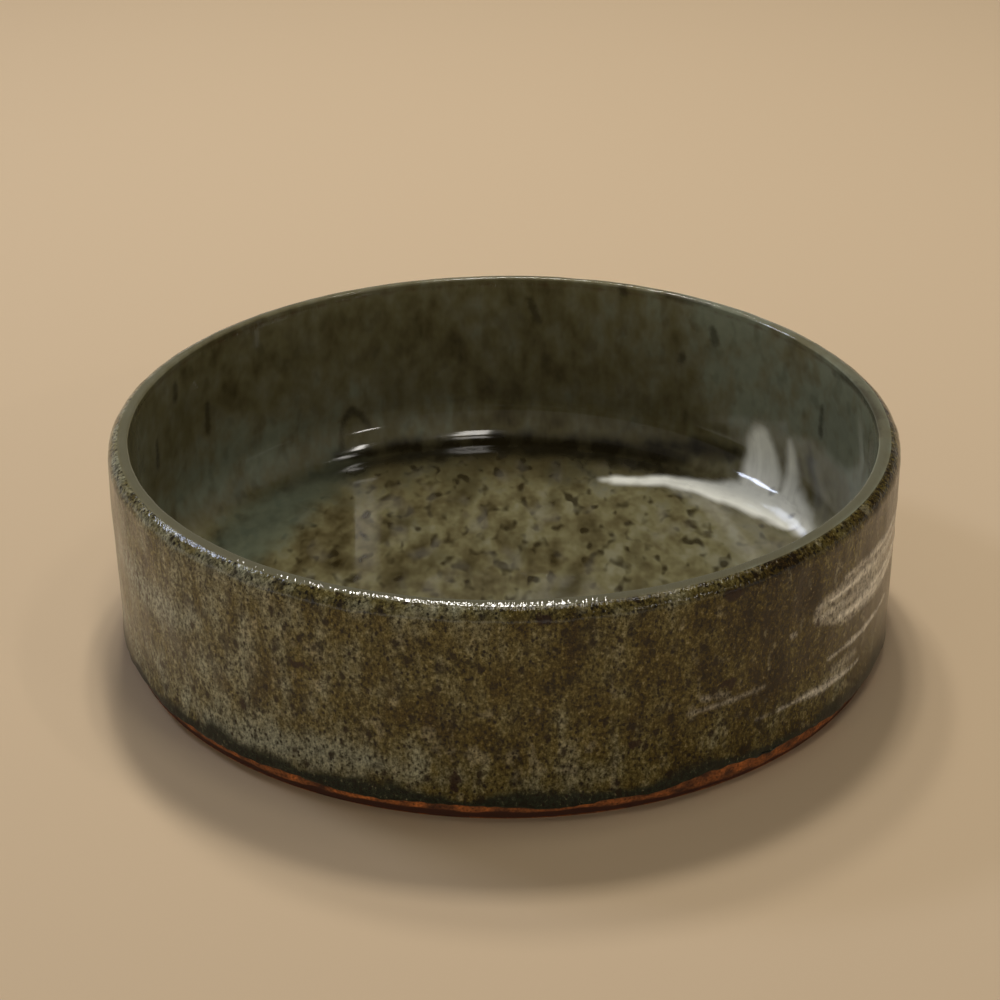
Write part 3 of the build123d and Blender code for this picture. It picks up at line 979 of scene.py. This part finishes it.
def makeGlazeInside():
    # a section carried round the axis: along the floor, round the corner's quarter circle, up the wall and
    # over the lip, then back along the clay; a fan closes each end at the middle
    shape = insideShape
    rows, clayRows = shape["rows"], shape["clayRows"]
    flat, clayRound, clayBend = innerRadius - cornerRadius, lipInside - coat, cornerRadius + coat
    middle = shape["middleRadius"]
    air = joinProfile(
        linePoints((poleRadius, floorTop), (middle, floorTop), rows["middle"]),
        linePoints((middle, floorTop), (flat, floorTop), rows["floor"]),
        arcPoints((flat, floorTop + cornerRadius), cornerRadius, -90, 0, rows["corner"]),
        linePoints((innerRadius, floorTop + cornerRadius), (innerRadius, lipTop - lipInside), rows["wall"]),
        arcPoints((innerRadius + lipInside, lipTop - lipInside), lipInside, 180, 90, rows["lipInside"]),
        ovalPoints(crest, lipAcross, lipDown, 90, meetTurn, rows["lip"]),
    )
    clay = joinProfile(
        ovalPoints(crest, lipAcross - coat, lipDown - coat, clayMeetTurn, 90, clayRows["lip"]),
        arcPoints((clayInner + clayRound, clayTop - clayRound), clayRound, 90, 180, clayRows["lipInside"]),
        linePoints((clayInner, clayTop - clayRound), (clayInner, clayFloor + clayBend), clayRows["wall"]),
        arcPoints((clayInner - clayBend, clayFloor + clayBend), clayBend, 0, -90, clayRows["corner"]),
        linePoints((clayInner - clayBend, clayFloor), (poleRadius, clayFloor), clayRows["floor"]),
    )
    profile = np.concatenate([air, clay])
    points = turnedPoints(profile, shape["columns"])
    height, drop = points[..., 2], lipTop - points[..., 2]

    strokes = [(weight, placeMark(stroke, insidePoint)) for weight, stroke in shape["strokes"]]
    white, brush = brushField(points, strokes, shape["slipSoft"], shape["slipStray"])
    iron, dark, celadon = (
        markField(points, [placeMark(mark, insidePoint) for mark in shape[key]])
        for key in ("ironMarks", "darkPoolsAndShade", "celadonPools")
    )

    # relief of the air side: faint ripples, runs of glaze high on the wall, and brush marks
    upright = smoothStep(floorTop, floorTop + shape["rippleTurn"], height)
    relief = waveNoise(points, *shape["floorRipple"]) * (1 - upright)
    relief += waveNoise(points, *shape["ripple"]) * upright
    relief += waveNoise(points * runStretch, *shape["drips"]) * smoothStep(*shape["dripsFrom"], height)
    relief += shape["slipRelief"] * white
    relief *= smoothStep(0.0, hand["calmBelowLip"], drop)
    relief += lipLumps(points)
    relief[len(air):] = 0
    normals = np.zeros((len(profile), 2))
    normals[:len(air)] = profileNormals(air, -1)
    shaped = pushOut(points, normals, relief)

    # the lip is thicker in one place: its inner half leans in there, and stays where the two coats meet
    place, halfWidth, swell = hand["lipSwell"]
    start, full = hand["swellFrom"]
    reach = np.hypot(points[..., 0], points[..., 1])
    lean = swell * roundHump(points, place, halfWidth) * smoothStep(lipTop - start, lipTop - full, height)
    lean *= np.clip((lipMiddle - reach) / (lipMiddle - innerRadius), 0, 1) / np.maximum(reach, poleRadius)
    lean[len(air):] = 0
    shaped[..., :2] *= 1 - lean[..., None]
    shaped = handWarp(shaped)

    # colour drivers: brown on the wall, olive on the floor, grey-green to the right, with painted light from
    # the left growing toward the top there, and in pools on the left
    run = np.concatenate([[0], np.cumsum(np.linalg.norm(np.diff(profile, axis=0), axis=1))])[:, None]
    turn = np.arctan2(points[..., 1], points[..., 0])
    start, end = shape["floorEnd"]
    onFloor = 1 - smoothStep(flat + start, flat + end, run)
    floorLess, rightMore = shape["floorDepth"]
    right = smoothStep(*shape["rightFrom"], points[..., 0])
    depth = shape["depth"] + (rightMore * right - floorLess) * onFloor
    depth += waveNoise(points, *shape["depthSwing"])
    # on the right the greyer wall is partly painted light from the left, lighter toward the top
    for amount, side, turned, facing, start, full in shape["greyWallsAndPaintedLight"]:
        stretch = smoothStep(turned, facing, np.cos(turn - math.radians(side)))
        depth += amount * stretch * smoothStep(start, full, height) * (1 - onFloor)
    # dark pools and their skirt: pooled glaze and painted shade where the far wall shades the corner and
    # floor
    poolAndShadeSkirt = np.interp(dark, *zip(*shape["poolAndShadeSkirt"]))
    poolAndShade = np.maximum(shape["poolAndShade"] * smoothStep(*shape["poolFade"], dark), poolAndShadeSkirt * onFloor)
    crown = lipCrown(points)
    onWall = shape["blotsOnWall"]
    brush[..., 2] = (onWall + (1 - onWall) * onFloor) * (1 - crown)
    return gridMesh("glazeCoatInside", shaped, False, glazeIn, {
        "coat": np.stack([depth, poolAndShade, crown], axis=-1),
        "marks": np.stack([white, iron, softBand(drop, *shape["shoulder"])], axis=-1),
        "celadon": smoothStep(*shape["celadonFade"], celadon),
        "brush": brush,
    })


pieces = [
    (makeFoot(), "floor_slab", "stoneware"),
    (makeWall(), "wall", "stoneware"),
    (makeGlazeOutside(), "glaze_outside", "glaze_outside"),
    (makeGlazeInside(), "glaze_inside", "glaze_inside"),
]
for piece, node, slotName in pieces:
    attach(piece, "root")
    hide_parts(node)
    print("piece made:", piece.name, len(piece.data.polygons), "faces")


# Plain pale floor and a pale surround, whose light falls from the horizon to the height skyTop, with a
# share of it for each side that it comes from. Its tone turns from the left's to the surround's by coolTo
stageLook = {
    "floor": "#cfb796",
    "floorRoughness": 0.8,
    "floorSize": 40.0,
    "surround": "#ece3d4",
    "skylight": "#ebe3d5",
    "horizon": 1.30,
    "zenith": 0.18,
    "skyTop": 0.22,
    "front": 1.0,
    "back": 0.4,
    "left": 2.0,
    "right": 0.8,
    "coolTo": 0.5,
}


def makeStage():
    look = stageLook
    material, add = newMaterial("stageFloorPlain")
    shader = add("BsdfPrincipled", {"Base Color": look["floor"], "Roughness": look["floorRoughness"]})
    add("OutputMaterial", {"Surface": shader})
    half = look["floorSize"] / 2
    corners = [(-half, -half, 0), (half, -half, 0), (half, half, 0), (-half, half, 0)]
    mesh = bpy.data.meshes.new("stageFloor")
    mesh.from_pydata(corners, [], [(0, 1, 2, 3)])
    mesh.materials.append(material)
    floor = bpy.data.objects.new("stageFloor", mesh)
    bpy.context.scene.collection.objects.link(floor)
    world = bpy.data.worlds.new("stageSurround")
    add = emptyNodes(world)
    direction = add("TexCoord").outputs["Generated"]
    across, along, height = add("SeparateXYZ", {0: direction}).outputs
    level, side, flank, cool = (
        add("MapRange", {"Value": value, 1: start, 2: end, 3: first, 4: last})
        for value, start, end, first, last in (
            (height, 0.0, look["skyTop"], look["horizon"], look["zenith"]),
            (along, -1.0, 1.0, look["front"], look["back"]),
            (across, -1.0, 1.0, look["left"], look["right"]),
            (across, -1.0, look["coolTo"], 1.0, 0.0),
        )
    )
    colour = add("Mix", {0: cool, 6: look["surround"], 7: look["skylight"]}, data_type="RGBA")
    turned = add("Math", {0: level, 1: side}, operation="MULTIPLY")
    strength = add("Math", {0: turned, 1: flank}, operation="MULTIPLY")
    light = add("Background", {"Color": colour, "Strength": strength})
    add("OutputWorld", {"Surface": light})
    bpy.context.scene.world = world


# Lamps: place, aim, size in metres, power in watts and colour. The three behind the basin cast its soft
# shadow towards the front, and all of them are small, for the highlights in the corner, on the floor and
# along the lip
lampWhite, daylight = "#fffaf2", "#dbe5ff"
lamps = {
    "ceilingLampBackLeft": ((-0.06, 0.66, 1.60), (0.0, 0.0, 0.0), (0.10, 0.20), 5.0, lampWhite),
    "ceilingLampBackRight": ((0.07, 0.66, 1.60), (0.0, 0.0, 0.0), (0.10, 0.20), 5.0, lampWhite),
    "ceilingLampFar": ((-0.21, 1.06, 1.60), (0.0, 0.0, 0.0), (0.16, 0.20), 6.5, lampWhite),
    "ceilingLampOver": ((0.13, -0.06, 1.55), (0.13, 0.0, 0.0), (0.14, 0.40), 2.4, lampWhite),
    "ceilingLampRight": ((0.62, 0.13, 1.50), (0.08, -0.13, 0.0), (0.34, 0.05), 1.2, lampWhite),
    "windowLeft": ((-0.91, 0.52, 1.00), (0.0, 0.0, 0.05), (0.26, 0.16), 3.4, daylight),
    "frontLampRight": ((1.90, -1.60, 1.42), (0.0, 0.0, 0.0), (0.36, 0.08), 2.8, lampWhite),
}


def makeLamps():
    for name, (place, aim, size, power, colour) in lamps.items():
        light = bpy.data.lights.new(name, "AREA")
        light.shape = "RECTANGLE"
        light.size, light.size_y = size
        light.energy = power
        light.color = linearColour(colour)[:3]
        lamp = bpy.data.objects.new(name, light)
        bpy.context.scene.collection.objects.link(lamp)
        lamp.location = place
        lamp.rotation_euler = (Vector(aim) - Vector(place)).to_track_quat("-Z", "Y").to_euler()


# Camera at the photograph's angle, worked out from the rim and the foot in a 1000 x 1000 frame
view = {
    "elevation": 27.23,
    "roll": -0.21,
    "distance": 0.6817,
    "aim": (-1.39 * mm, 0.0, 37.57 * mm),
    "focalPixels": 2097.0,
    "framePixels": 1000,
    "sensor": 36.0,
}


def makeCamera():
    data = bpy.data.cameras.new("photoCamera")
    data.sensor_width = view["sensor"]
    data.lens = view["focalPixels"] / view["framePixels"] * view["sensor"]
    camera = bpy.data.objects.new("photoCamera", data)
    bpy.context.scene.collection.objects.link(camera)
    tilt = math.radians(view["elevation"])
    back = Vector((0.0, -math.cos(tilt), math.sin(tilt))) * view["distance"]
    camera.location = Vector(view["aim"]) + back
    turn = (-back).to_track_quat("-Z", "Y") @ Quaternion((0.0, 0.0, 1.0), math.radians(view["roll"]))
    camera.rotation_euler = turn.to_euler()
    bpy.context.scene.camera = camera


makeStage()
makeLamps()
makeCamera()
bpy.context.scene.view_settings.view_transform = "Standard"
print("stage, lamps and camera set")
